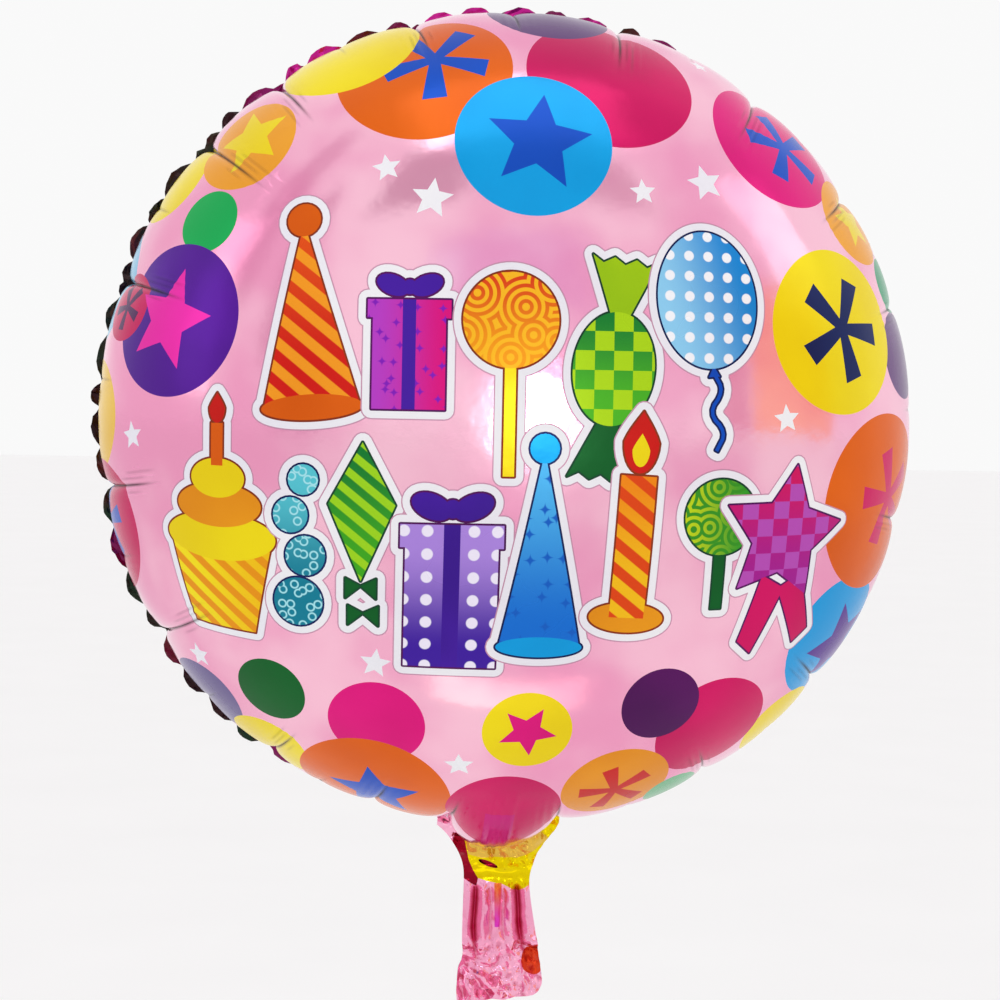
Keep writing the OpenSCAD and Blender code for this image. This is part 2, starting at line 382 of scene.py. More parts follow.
front_print = [
    # dots, and what is printed on them
    ("blue_pale", disc(-217, 71, 34)),
    ("yellow", disc(-170, 117, 24.5)),
    ("orange_soft", disc(-124, 122, 24.5)),
    ("yellow", star(-122, 124, 18.5, 12)),
    ("green", disc(-136, 84, 14.5)),
    ("purple", disc(-150, 42, 33)),
    ("magenta", disc(-183, 51, 16.5)),
    *burst("purple_dark", -183, 51, 11.5, 20),
    ("pink_hot", star(-152, 42, 22.5, -18)),
    ("yellow_soft", disc(-213, 0, 28.5)),
    ("magenta", disc(-205, -56, 34)),
    *burst("blue", -206, -54, 20.5, 5),
    ("violet_grey", disc(-147, -135, 22)),
    ("green_dark", disc(-106, -115, 16)),
    ("magenta_pink", disc(-60, -124, 20.5)),
    ("yellow", disc(-115, -157, 21.5)),
    ("orange", disc(-64, -171, 36.5, 38)),
    ("blue", star(-63, -173, 22.5, 4)),
    ("orange", disc(-46, 151, 38)),
    *burst("blue", -41, 156, 23.5, -35),
    ("yellow", disc(-84, 176, 35)),
    ("magenta", disc(34, 148, 36.5)),
    ("violet_dusk", disc(13, 201, 30)),
    ("sky", disc(-1, 113, 31.5)),
    ("blue", star(1, 113, 22, -8)),
    ("magenta_pink", disc(111, 127, 33)),
    *burst("blue", 116, 126, 20.5, 12),
    ("teal", disc(179, 70, 14)),
    ("orange_soft", disc(154, 97, 22)),
    ("yellow", star(155, 97, 14.5, 20)),
    ("violet_dusk", disc(183, 36, 21)),
    ("yellow", disc(130.5, 42, 35)),
    *burst("navy", 131.5, 43, 22.5, -20),
    ("sky", disc(147, -95, 31)),
    ("orange", disc(163, -32, 40)),
    *burst("magenta", 169, -30, 22.5, 14),
    ("purple", star(154, -101, 24.5, 14)),
    ("yellow", disc(131, -143, 22)),
    ("magenta", disc(85, -130, 27)),
    ("purple_dark", disc(57, -113, 17)),
    ("yellow", disc(2, -124, 18.5)),
    ("magenta_pink", star(2, -124, 12.5, -28)),
    ("amber", disc(46, -160.5, 25.2)),
    *burst("red", 46, -163, 17, 19),
    ("green_pale", disc(79, -175, 14)),
    ("magenta", disc(-3.5, -176.5, 26.5, 27.5)),
    ("magenta_deep", box(-11.5, -206, 2, -177)),
    # small white stars
    *[
        ("white", star(u, v, r, turn))
        for u, v, r, turn in [
            (-59, 101, 6, 10), (-41, 88, 8.5, -8), (42, 93, 5.5, 4), (69, 99, 8, 14),
            (84, 171, 5, 0), (-171, -8, 6.5, 8), (102, 5, 6, 6), (-60, -95, 6.5, -6),
            (-143, -107, 6.5, 12), (-25, -143, 6.5, 4),
        ]
    ],
    # ornaments, upper row
    *motif(-89, 46, "keyline_warm", hat(19, -40, 33, "stripes_red", "orange"), 4),
    *motif(-49, 37, "purple_dark", gift(16, -31, 4, 11, "sparks_magenta", "violet")),
    *motif(-10, 21, "keyline_warm", lollipop(18.5, 20, -40, "swirl_orange", "yellow")),
    *motif(
        30, 23, "keyline_green",
        [
            ("lime", fan(17, 43, 13)),
            ("green_dark", -fan(17, 43, 13)),
            ("checks_green", disc(0, 0, 16, 22)),
        ],
        -6,
    ),
    *motif(
        69, 35, "navy",
        [
            ("blue", np.array([(0, -10), (2.3, -14.2), (-2.3, -14.2)])),
            (
                "blue",
                band(rounded([(0, -13), (3.4, -20), (-3.4, -28), (3.4, -36), (-1, -43)]), 0.7),
            ),
            ("dots_blue", disc(0, 16, 20.5, 27)),
        ],
        5,
    ),
    # ornaments, lower row
    *motif(
        -125, -38, "keyline_warm",
        [
            ("stripes_yellow", np.array([(-15, -49), (15, -49), (23, -12), (-23, -12)])),
            ("yellow", disc(0, -9, 25, 10)),
            ("amber", disc(0, 4, 19, 9)),
            ("yellow", disc(0, 15, 12, 8)),
            ("orange", box(-2.6, 20, 2.6, 37)),
            ("red", drop(0, 43, 7, 12)),
        ],
    ),
    *motif(
        -91, -43, "navy",
        [
            ("bubbles_teal", disc(0, -28, 10)),
            ("bubbles_teal", disc(3, -9, 8)),
            ("bubbles_teal", disc(-3, 7, 7)),
            ("bubbles_teal", disc(2, 21, 6)),
        ],
    ),
    *motif(
        -66, -41, "keyline_green",
        [
            ("stripes_green", np.array([(0, 34), (-13, 10), (0, -20), (13, 10)])),
            ("green_dark", np.array([(0, -22), (-6, -19), (-6, -27)])),
            ("green_dark", np.array([(0, -22), (6, -27), (6, -19)])),
            ("green_dark", np.array([(1, -33), (-5, -30), (-5, -38)])),
            ("green_dark", np.array([(1, -33), (7, -38), (7, -30)])),
        ],
    ),
    *motif(-31, -53, "purple_dark", gift(20, -42, 6, 15, "dots_violet", "violet")),
    *motif(4, -43, "navy", hat(16, -43, 34, "stars_blue", "sky")),
    *motif(
        40, -36, "keyline_warm",
        [
            ("amber", disc(0, -38, 15, 6)),
            ("stripes_orange", box(-7, -38, 7, 18)),
            ("red", drop(0, 31, 14, 24)),
            ("yellow", drop(0, 28, 7, 13)),
        ],
        -3,
    ),
    *motif(75, -44, "keyline_green", lollipop(15, 10, -27, "swirl_green", "green_dark")),
    *motif(
        104, -50, "purple_dark",
        [
            ("magenta", np.array([(-9, -8), (2, -14), (-10, -42), (-17, -36)])),
            ("magenta", np.array([(10, -8), (-1, -14), (12, -40), (19, -34)])),
            ("checks_magenta", star(0, 8, 29, -8, 0.52)),
        ],
    ),
]


# ---- Film meshes ------------------------------------------------------------------------------

MIDDLE_R = 2  # mm: no ring is smaller
ROW_SHARE = 0.87  # of the step along a ring: rows of nearly equal-sided triangles
OUTLINE_STEP = 1.2  # mm
CDT_GAP = 1e-5  # mm: points closer than this are one
NORMAL_STEP = 0.25 * MM  # the film's slope is measured over this much each way


def rings(radius, fine, coarse, margin):
    """Points all over a disc, fine near its edge and coarse inside margin, in mm."""
    out, s, k = [(0.0, 0.0)], radius, 0
    while s > MIDDLE_R:
        step = fine + (coarse - fine) * float(smooth((radius - s - margin) / margin))
        n = max(6, int(2 * math.pi * s / step))
        a = 2 * math.pi * (np.arange(n) + 0.5 * (k % 2)) / n
        out += list(zip(s * np.sin(a), s * np.cos(a)))
        s -= ROW_SHARE * step
        k += 1
    return out


def flat_mesh(points, lines, outline, paint, base):
    """Triangles over the outline, cut along every printed edge, and the ink of each one.

    lines are open runs of points that triangle sides follow, such as the creases.
    """
    points = list(points)
    edges = []

    def add(run, closed):
        first = len(points)
        points.extend(map(tuple, run))
        n = len(run)
        edges.extend((first + k, first + (k + 1) % n) for k in range(n if closed else n - 1))

    add(stepped(outline, OUTLINE_STEP), True)
    for run in lines:
        add(run, False)
    for ink, shape in paint:
        add(stepped(shape), True)
    found = delaunay_2d_cdt([Vector(p) for p in points], edges, [], 0, CDT_GAP, False)
    verts = np.array([tuple(p) for p in found[0]])
    tris = np.array([f for f in found[2] if len(f) == 3])
    middle = verts[tris].mean(1)
    inks = np.full(len(tris), base, dtype=object)
    for ink, shape in paint:
        lo, hi = shape.min(0), shape.max(0)
        near = np.flatnonzero(((middle > lo) & (middle < hi)).all(1))
        inks[near[inside(middle[near], shape)]] = ink
    return verts, tris, inks


def placed(name, data):
    """A new object in the scene."""
    made = bpy.data.objects.new(name, data)
    bpy.context.scene.collection.objects.link(made)
    return made


def build_film(name, verts, tris, inks, place, flip, fold):
    """A mesh of the flat film carried to its place, with exact normals and its flat map.

    fold gives how much painted shade darkens each flat point in creases and folds, from 0 to 1.
    """
    used, index = np.unique(tris, return_inverse=True)
    flat = verts[used] * MM
    tris = index.reshape(-1, 3)
    u, v = flat[:, 0], flat[:, 1]
    e = NORMAL_STEP
    at = place(u, v)
    du = place(u + e, v) - place(u - e, v)
    dv = place(u, v + e) - place(u, v - e)
    normals = np.cross(du, dv)
    if flip:
        tris = tris[:, ::-1]
        normals = -normals
    normals /= np.maximum(np.linalg.norm(normals, axis=1), 1e-12)[:, None]
    mesh = bpy.data.meshes.new(name)
    mesh.from_pydata(at.tolist(), [], tris.tolist())
    names = sorted(set(inks))
    for ink in names:
        mesh.materials.append(material(ink))
    order = {ink: k for k, ink in enumerate(names)}
    mesh.polygons.foreach_set("material_index", [order[ink] for ink in inks])
    mesh.polygons.foreach_set("use_smooth", [True] * len(tris))
    flat_map = mesh.uv_layers.new(name="flat")
    flat_map.data.foreach_set("uv", flat[tris.ravel()].ravel())
    span = (flat.max(0) - flat.min(0)).max() * 1.01  # leaves a little room round it
    bake_map = mesh.uv_layers.new(name="OFBake")
    bake_map.data.foreach_set(
        "uv", ((flat[tris.ravel()] - (flat.max(0) + flat.min(0)) / 2) / span + 0.5).ravel()
    )
    # The fold attribute carries the painted shade of creases and folds to the materials.
    mesh.attributes.new("fold", "FLOAT", "POINT").data.foreach_set("value", fold(u, v))
    mesh.update()
    mesh.normals_split_custom_set_from_vertices(normals.tolist())
    return placed(name, mesh)


# ---- Materials --------------------------------------------------------------------------------


def linear(code):
    """A colour written as six hex digits, as linear light, opaque."""
    values = [int(code[k : k + 2], 16) / 255 for k in (0, 2, 4)]
    light = [x / 12.92 if x < 0.04045 else ((x + 0.055) / 1.055) ** 2.4 for x in values]
    return (*light, 1.0)


class Nodes:
    """Short names for building the node tree of a new material or world."""

    def __init__(self, made):
        made.use_nodes = True
        self.made = made
        self.tree = made.node_tree
        self.shader = self.tree.nodes.get("Principled BSDF") or self.tree.nodes["Background"]

    def add(self, kind, settings=(), **inputs):
        """A node, its inputs given by name, or as i0, i1 and so on by number."""
        node = self.tree.nodes.new(kind)
        for key, value in dict(settings).items():
            setattr(node, key, value)
        for key, value in inputs.items():
            by_number = key[0] == "i" and key[1:].isdigit()
            self.feed(node.inputs[int(key[1:]) if by_number else key], value)
        return node

    def feed(self, socket, value):
        if isinstance(value, bpy.types.NodeSocket):
            self.tree.links.new(value, socket)
        else:
            socket.default_value = value

    def set(self, name, value):
        """Feeds one socket of the surface's or the world's own shader."""
        self.feed(self.shader.inputs[name], value)

    def math(self, operation, a, b=0.0, c=0.0):
        return self.add("ShaderNodeMath", {"operation": operation}, i0=a, i1=b, i2=c).outputs[0]

    def vector(self, operation, a, b=(0, 0, 0)):
        node = self.add("ShaderNodeVectorMath", {"operation": operation}, i0=a, i1=b)
        return node.outputs["Value" if operation in ("LENGTH", "DOT_PRODUCT") else "Vector"]

    def mix(self, share, a, b, blend="MIX"):
        """Two colours mixed: the node's colour sockets are inputs 6 and 7 and output 2."""
        settings = {"data_type": "RGBA", "blend_type": blend}
        return self.add("ShaderNodeMix", settings, i0=share, i6=a, i7=b).outputs[2]

    def noise(self, where, scale, detail=2.0):
        node = self.add("ShaderNodeTexNoise", Vector=where, Scale=scale, Detail=detail)
        return node.outputs["Fac"]

    def between(self, value, low, high):
        """value turned into a soft step that rises from low to high."""
        node = self.add("ShaderNodeMapRange", {"interpolation_type": "SMOOTHSTEP"})
        for key, number in (("Value", value), ("From Min", low), ("From Max", high)):
            self.feed(node.inputs[key], number)
        return node.outputs[0]


# Each pattern is given the node tree, the place on the flat film and a size, both in metres, and
# returns where the second ink goes, from 0 to 1.


def cells(n, flat, scale, settings=(), **inputs):
    """How far a place is from the nearest of many scattered points."""
    settings = {"voronoi_dimensions": "2D", **dict(settings)}
    node = n.add("ShaderNodeTexVoronoi", settings, Vector=flat, Scale=scale, **inputs)
    return node.outputs["Distance"]


def stripes(n, flat, size):
    """Slanted bands."""
    slanted = n.vector("DOT_PRODUCT", flat, (0.62, 0.78, 0))
    return n.between(n.math("SINE", n.math("MULTIPLY", slanted, 2 * math.pi / size)), -0.2, 0.2)


def checks(n, flat, size):
    """Squares."""
    return n.add("ShaderNodeTexChecker", Vector=flat, Scale=1 / size).outputs["Fac"]


def fade(n, flat, size):
    """One ink running into the other, down the film from just below the fold."""
    height = n.add("ShaderNodeSeparateXYZ", Vector=flat).outputs[1]
    return n.between(height, -4 * MM, -size)


def dots(n, flat, size):
    """Round dots on a square grid."""
    scaled = n.vector("DIVIDE", flat, (size, size, 1))
    cell = n.vector("SUBTRACT", n.vector("FRACTION", scaled), (0.5, 0.5, 0))
    apart = n.vector("LENGTH", n.vector("MULTIPLY", cell, (1, 1, 0)))
    return n.math("SUBTRACT", 1.0, n.between(apart, 0.22, 0.28))


def swirl(n, flat, size):
    """Curls, as rings round scattered points."""
    apart = cells(n, flat, 0.35 / size)
    return n.between(n.math("SINE", n.math("MULTIPLY", apart, 30.0)), -0.3, 0.3)


def bubbles(n, flat, size):
    """One ring round each of many scattered points."""
    rim = n.math("ABSOLUTE", n.math("SUBTRACT", cells(n, flat, 1 / size), 0.3))
    return n.math("SUBTRACT", 1.0, n.between(rim, 0.03, 0.1))


def sparks(n, flat, size):
    """A four-pointed spark at each of many scattered points."""
    apart = cells(n, flat, 1 / size, {"distance": "MINKOWSKI"}, Exponent=0.55)
    return n.math("SUBTRACT", 1.0, n.between(apart, 0.18, 0.4))


PATTERNS = {
    "stripes": stripes, "checks": checks, "fade": fade, "dots": dots, "swirl": swirl,
    "bubbles": bubbles, "sparks": sparks,
}

# Each ink: colour, second colour, how metallic, how rough, and for some a pattern and its size in
# mm. A pattern may add a colour that the first runs into, and the line in mm along which it does.
INKS = {
    # The pink film's second colour, a deeper rose mottled through it, is painted reflection.
    "pink": ("fbc4d8", "ee9cc0", 0.9, 0.13),
    "halo_edge": ("c795ae", "bd8aa4", 0.3, 0.3),
    "weld": ("fbe3ec", "f3cfdd", 0.7, 0.3),
    "white": ("eef0f3", "e6e6ee", 0.0, 0.4),
    "yellow": ("f0dc08", "e6cd06", 0.25, 0.22),
    "amber": ("ea9a12", "de8a0c", 0.25, 0.22),
    "yellow_soft": ("eec64a", "e6ba3e", 0.4, 0.22),
    "orange": ("e26402", "d65a02", 0.3, 0.22),
    "orange_soft": ("f0a62e", "e69a24", 0.35, 0.22),
    "red": ("d0160c", "c0100a", 0.25, 0.25),
    "magenta": ("d20a62", "c00658", 0.4, 0.18),
    "magenta_pink": ("e0127e", "d20c74", 0.4, 0.18),
    "magenta_deep": ("cc0678", "bc046e", 0.45, 0.16),
    "pink_hot": ("f02aae", "e222a0", 0.3, 0.22),
    "purple": ("58129c", "4c0e8a", 0.35, 0.22),
    "purple_dark": ("560a5c", "480850", 0.35, 0.22),
    "violet": ("4416a0", "380f8a", 0.3, 0.22),
    "violet_grey": ("75689a", "675a8c", 0.5, 0.22),
    "violet_dusk": ("6a447e", "5e3a72", 0.45, 0.22),
    "teal": ("1e9a6c", "1a8c60", 0.4, 0.22),
    "sky": ("00a4e6", "0098da", 0.3, 0.22),
    "blue": ("0450c4", "0446b2", 0.3, 0.22),
    "blue_pale": ("86c4e2", "74b6dc", 0.5, 0.22),
    "navy": ("0a1e5c", "081a50", 0.3, 0.25),
    "green": ("06b658", "05a44e", 0.3, 0.22),
    "green_dark": ("026024", "02541e", 0.3, 0.22),
    "green_pale": ("7cbf94", "6ab284", 0.5, 0.22),
    "lime": ("a8d008", "94c006", 0.3, 0.22),
    "keyline_warm": ("8e340a", "7e2a08", 0.2, 0.35),
    "keyline_green": ("064428", "043822", 0.2, 0.35),
    "stripes_red": ("d0160a", "f39a1c", 0.25, 0.25, "stripes", 8, "e2500c", (-90, 20, -90, 80)),
    "stripes_yellow": (
        "f2de10", "e6930a", 0.25, 0.25, "stripes", 6.5, "f0c00a", (-140, -60, -104, -60),
    ),
    "stripes_orange": ("f2bc10", "dc4408", 0.25, 0.25, "stripes", 8, "ee8408", (37, -62, 37, -14)),
    "stripes_green": ("067a2c", "9ad418", 0.25, 0.25, "stripes", 6, "3ca818", (-66, -8, -66, -56)),
    "sparks_magenta": ("b43cc4", "8018b8", 0.3, 0.25, "sparks", 7, "d8067c", (-64, 30, -34, 30)),
    "swirl_orange": ("d8340a", "f6b81a", 0.25, 0.25, "swirl", 5, "f09a0c", (-11, 62, -11, 26)),
    "swirl_green": ("c2d80c", "34921e", 0.25, 0.25, "swirl", 4.5, "2c9a24", (57, -29, 86, -29)),
    "checks_green": ("067a2c", "a8d40c", 0.25, 0.25, "checks", 7.5, "48b01c", (28, 48, 28, 6)),
    "checks_magenta": ("d00c5c", "b44cb4", 0.3, 0.25, "checks", 7, "a01890", (99, -10, 99, -64)),
    "dots_blue": ("8ccdf0", "f2f6fa", 0.2, 0.25, "dots", 8, "0a84d2", (48, 50, 84, 62)),
    "dots_violet": ("a884dc", "ece8f8", 0.2, 0.25, "dots", 9, "3c149c", (-34, -44, -34, -88)),
    "stars_blue": ("4cb4ec", "0a5cc0", 0.25, 0.25, "sparks", 9, "0a6cd0", (2, -10, 2, -80)),
    "bubbles_teal": ("54c4d2", "a4e4ec", 0.25, 0.25, "bubbles", 5, "067c94", (-90, -20, -90, -64)),
    "tail_pink": ("fab6d2", "f6a4c6", 0.95, 0.12),
    "tail_yellow": ("ecd400", "dcc200", 0.85, 0.15),
    "tail_amber": ("e4bc50", "d8aa38", 0.8, 0.16),
    "tail_crimson": ("9c0a26", "760820", 0.85, 0.18),
    "tail_orange": ("e0401c", "cc3a1c", 0.8, 0.18),
    "tail_streak": ("f07a3a", "e03ac0", 0.8, 0.15, "fade", 22),
}

made_inks = {}

# Painted shade: what the ink is multiplied by in the bottom of a dome's crease, and of the tail's
# folds.
CREASE_SHADE_TINT = (0.05, 0.02, 0.035, 1)
TAIL_FOLD_SHADE_TINT = (0.55, 0.03, 0.13, 1)


def material(name):
    """Printed foil: an ink over bright metal, slightly mottled, and darkened by painted shade in
    creases and folds.
    """
    if name in made_inks:
        return made_inks[name]
    first, second, metallic, rough, *pattern = INKS[name]
    n = Nodes(bpy.data.materials.new(name))
    flat = n.add("ShaderNodeUVMap", {"uv_map": "flat"}).outputs[0]
    where = n.add("ShaderNodeTexCoord").outputs["Object"]
    mottle = n.between(n.noise(where, 14.0, 3.0), 0.35, 0.65)
    ground, spread = linear(first), mottle
    if pattern:
        kind, size, *into = pattern
        spread = PATTERNS[kind](n, flat, size * MM)
        if into:
            start, end = np.array(into[1]).reshape(2, 2) * MM
            line = (*((end - start) / ((end - start) @ (end - start))), 0.0)
            along = n.vector("DOT_PRODUCT", n.vector("SUBTRACT", flat, (*start, 0.0)), line)
            ground = n.mix(n.between(along, 0, 1), ground, linear(into[0]))
    colour = n.mix(spread, ground, linear(second))
    # Painted shade: the fold attribute darkens the ink, and makes it rougher, in the bottoms of
    # creases and folds.
    fold = n.add("ShaderNodeAttribute", {"attribute_name": "fold"}).outputs["Fac"]
    shade = n.mix(fold, (1, 1, 1, 1), TAIL_FOLD_SHADE_TINT if "tail" in name else CREASE_SHADE_TINT)
    n.set("Base Color", n.mix(1.0, colour, shade, "MULTIPLY"))
    n.set("Metallic", metallic)
    rough = n.math("MULTIPLY_ADD", fold, 0.2, rough - 0.025)
    n.set("Roughness", n.math("MULTIPLY_ADD", mottle, 0.05, rough))
    n.set("Specular IOR Level", 0.2)
    grain = n.math("MULTIPLY", n.noise(where, 500.0), 0.05)
    bumps = n.math("ADD", n.noise(where, 45.0, 3.0), grain)
    bump = n.add("ShaderNodeBump", Strength=0.1, Distance=0.002, Height=bumps)
    n.set("Normal", bump.outputs[0])
    made_inks[name] = n.made
    return n.made


# ---- Domes ------------------------------------------------------------------------------------

FLAT_MM = FLAT_R / MM
RIM_POINTS = 16 * CRIMPS
WELD_LINE_W = 1.1  # mm: the pale line along the weld
RUN_INSET, RUN_STEP = 0.7, 1.3  # mm: where runs along creases start, and between their points


def crease_lines():
    """Runs along and beside every crease, and along its mirror image, which the back film has."""
    runs = []
    for k, (degrees, depth, length) in enumerate(CREASES):
        lines = [(aside, 0.0, 1.2) for aside in (-1.2, -0.5, 0, 0.5, 1.2)]
        for aside, start, end in painted_shade_strokes(k):
            lines += [(aside + step, start - 0.05, end + 0.05) for step in (-0.9, -0.35, 0.35, 0.9)]
        for side in (1, -1):
            a = side * math.radians(degrees)
            inwards = np.array([math.sin(a), math.cos(a)])
            across = side * np.array([math.cos(a), -math.sin(a)])
            for aside, start, end in lines:
                first, last = FLAT_MM - RUN_INSET - start * length, FLAT_MM - end * length
                runs.append(np.arange(first, last, -RUN_STEP)[:, None] * inwards + aside * across)
    return runs


around_rim = np.linspace(0, 2 * math.pi, RIM_POINTS, endpoint=False)
rim = FLAT_MM * np.stack([np.sin(around_rim), np.cos(around_rim)], -1)
inner_rim = (1 - WELD_LINE_W / FLAT_MM) * rim[::2]
verts, tris, inks = flat_mesh(
    rings(FLAT_MM - 1.2, fine=1.6, coarse=3.4, margin=38), crease_lines(), rim,
    [("pink", inner_rim)] + front_print, "pink",
)
reach = np.hypot(*verts[tris].mean(1).T)
inks[reach > FLAT_MM - WELD_LINE_W - 0.05] = "weld"
kept = reach < FLAT_MM - 0.01  # no slivers between the rim's points
inks, tris = inks[kept], tris[kept]


def dome_crease_shade(u, v, back=False):
    """Painted shade: how dark the ink looks in the bottoms of a dome's creases."""
    angle = np.arctan2(-u if back else u, v)
    s = np.hypot(u, v)
    return crease_painted_shade(angle, s, np.clip(FLAT_R - s, 0, None))


for name, node, behind in (("front_film", "front_panel", False), ("back_film", "back_panel", True)):
    piece = build_film(
        name, verts, tris, inks,
        lambda u, v: film_point(u, v, behind), False,
        lambda u, v: dome_crease_shade(u, v, behind),
    )
    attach(piece, "envelope")
    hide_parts(node)


# ---- Seam margin: the crimped band outside the weld line --------------------------------------

# Right of the top and at the lower left, the margin leans back out of the camera's sight.
LEAN_BACK = math.radians(52)
RIGHT_LEAN_FROM, RIGHT_LEAN_OVER = math.radians(14), math.radians(20)
LEFT_LEAN_FROM, LEFT_LEAN_OVER = math.radians(-143), math.radians(8)
LOBE_OUTLINE = np.array([0.2, 0.55, 0.8, 0.95, 1.0, 0.95, 0.8, 0.52])
LOBE_STEPS = len(LOBE_OUTLINE)
MARGIN_ROWS = 4
MARGIN_TUCK = 0.2 * MM
rng = np.random.default_rng(18)


def margin():
    """The margin's points, row by row from the weld line outwards, and the lobe of each column.

    Each lobe is a crumpled lens: a few straight facets from one crimp to the next.
    """
    ends = np.linspace(-math.pi + NECK_LOBE_HALF_ANGLE, math.pi - NECK_LOBE_HALF_ANGLE, CRIMPS - 2)
    ends[1:-1] += rng.uniform(-0.2, 0.2, len(ends) - 2) * (ends[1] - ends[0])
    steps = np.arange(LOBE_STEPS)
    a, high, deep, lobe = [], [], [], []
    for k, (first, last) in enumerate(zip(ends, ends[1:])):
        share = (steps + rng.uniform(-0.25, 0.25, LOBE_STEPS) * (steps > 0)) / LOBE_STEPS
        a += list(first + share * (last - first))
        high += list(LOBE_OUTLINE * rng.uniform(0.78, 1.02) + rng.uniform(-0.05, 0.05, LOBE_STEPS))
        deep += list(rng.uniform(-0.9, 0.9, LOBE_STEPS) + rng.uniform(-0.8, 0.8))
        lobe += [k] * LOBE_STEPS
    a, high = np.array(a + [ends[-1]]), np.array(high + [LOBE_OUTLINE[0]])
    deep, lobe = np.array(deep + [0]), np.array(lobe + [lobe[-1]])
    lean = smooth((a - RIGHT_LEAN_FROM) / RIGHT_LEAN_OVER)
    lean = LEAN_BACK * np.maximum(lean, smooth((LEFT_LEAN_FROM - a) / LEFT_LEAN_OVER))
    out = np.stack([np.sin(a), 0 * a, np.cos(a)], -1)
    weld = film_point(FLAT_R * np.sin(a), FLAT_R * np.cos(a)) - MARGIN_TUCK * out
    points = []
    for row in range(MARGIN_ROWS):
        v = row / (MARGIN_ROWS - 1)
        reach = SEAM_W * v * high * 1.08
        jog = rng.uniform(-0.5, 0.5, len(a)) * (0 < row < MARGIN_ROWS - 1) + deep * v
        back = reach * np.sin(lean) + jog * MM * (1 - 0.6 * np.sin(lean))
        row_points = weld + out * (reach * np.cos(lean))[:, None]
        row_points[:, 1] += back
        points.append(row_points)
    return np.array(points), lobe


points, lobe = margin()
rows, count = points.shape[:2]
# Each lobe has a random tone, with painted light making it brighter on the whole near the top.
side = np.abs(turned(np.linspace(-math.pi, math.pi, CRIMPS), 0))
lobe_tone_and_painted_light = 0.72 * rng.uniform(0, 1, CRIMPS) + 0.3 * smooth((1.2 - side) / 0.8)
quads = [
    (r * count + c, r * count + c + 1, (r + 1) * count + c + 1, (r + 1) * count + c)
    for r in range(rows - 1)
    for c in range(count - 1)
]
mesh = bpy.data.meshes.new("seam_margin")
mesh.from_pydata(points.reshape(-1, 3).tolist(), [], quads)
mesh.attributes.new("shade", "FLOAT", "FACE").data.foreach_set(
    "value", np.tile(lobe_tone_and_painted_light[lobe[:-1]], rows - 1)
)
seam_margin = placed("seam_margin", mesh)

# The margin's colours: dark tints of the print, made nearly black by painted shade and painted dark
# reflection.
n = Nodes(bpy.data.materials.new("seam_print_and_painted_shade"))
where = n.add("ShaderNodeTexCoord").outputs["Object"]
shade = n.add("ShaderNodeAttribute", {"attribute_name": "shade"}).outputs["Fac"]
mottled = n.math("ADD", shade, n.math("MULTIPLY", n.noise(where, 90.0), 0.25))
ramp = n.add("ShaderNodeValToRGB", Fac=mottled)
ramp.color_ramp.elements[0].color = linear("16060c")
ramp.color_ramp.elements[1].color = linear("c0138a")
for place, code in ((0.3, "2a060e"), (0.48, "0b2a18"), (0.62, "5a0a1e"), (0.8, "7a0a56")):
    ramp.color_ramp.elements.new(place).color = linear(code)
n.set("Base Color", ramp.outputs[0])
n.set("Metallic", 0.7)
n.set("Roughness", n.math("MULTIPLY_ADD", n.noise(where, 200.0), 0.2, 0.16))
bump = n.add("ShaderNodeBump", Strength=0.4, Distance=0.0006, Height=n.noise(where, 450.0, 3.0))
n.set("Normal", bump.outputs[0])
mesh.materials.append(n.made)
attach(seam_margin, "envelope")
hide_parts("rim_seam")


# ---- Neck and tail: one front and one back film, across the tie point -------------------------

# Half outlines in mm: how far each side reaches from the middle, and the height it does so at.
LEFT_EDGE = [
    (-26.4, 22), (-22.9, 19), (-18.8, 13.7), (-16, 8.3), (-14.7, 4.3), (-14.4, -2.4),
    (-14.6, -13), (-14.8, -24), (-14.4, -36), (-15.6, -38.6), (-16.7, -43), (-17, -50),
    (-16.4, -54.6),
]
RIGHT_EDGE = [
    (26, 23), (23.7, 19), (19.2, 13), (15.6, 7), (14.1, 1.6), (13.6, -3.1), (14.3, -9.7),
    (16.1, -19.8), (18.1, -30.5), (19.2, -39.8), (20.6, -46.6), (19.6, -50.2), (16.2, -52.2),
]

# The neck's films run on inside the envelope for a little way.
NECK_TUCK_R = WELD_R - 1.8 * MM
NECK_TUCK_ANGLE = 9  # degrees each side of straight down
NECK_TUCK_LOBE = 0.6 * NECK_LOBE
tuck_angles = np.radians(np.linspace(NECK_TUCK_ANGLE, -NECK_TUCK_ANGLE, 25))
tuck_reach = NECK_TUCK_R + NECK_TUCK_LOBE * neck_lobe(math.pi - tuck_angles)
neck_top = np.stack(
    [NECK_TUCK_R * np.sin(tuck_angles), CENTRE_Z - tuck_reach * np.cos(tuck_angles)], -1
) / MM
left, right = rounded(LEFT_EDGE), rounded(RIGHT_EDGE)
bottom = np.array([(-8, -54.2), (2, -53.6), (10, -52.8)])
tail_outline = np.concatenate([left, bottom, right[::-1], neck_top])
tail_levels = np.linspace(-55, 26, 163)
left_at = np.interp(tail_levels, left[::-1, 1], left[::-1, 0])
right_at = np.interp(tail_levels, right[::-1, 1], right[::-1, 0])

# Lengthwise pleats: where they run, as a share of the half width, and how far they stand back.
PLEATS = [
    (-1, 0), (-0.86, -1.6), (-0.66, 2.2), (-0.43, -2.2), (-0.2, 0.9), (-0.02, -1.1), (0.16, 0.9),
    (0.36, -2.2), (0.6, 2.2), (0.84, -1.6), (1, 0),
]
SLIT_AT = (-4.3, 5.5)
GRID_X, GRID_Z = 0.7, 0.6  # mm between the mesh's points
fold_rng = np.random.default_rng(7)


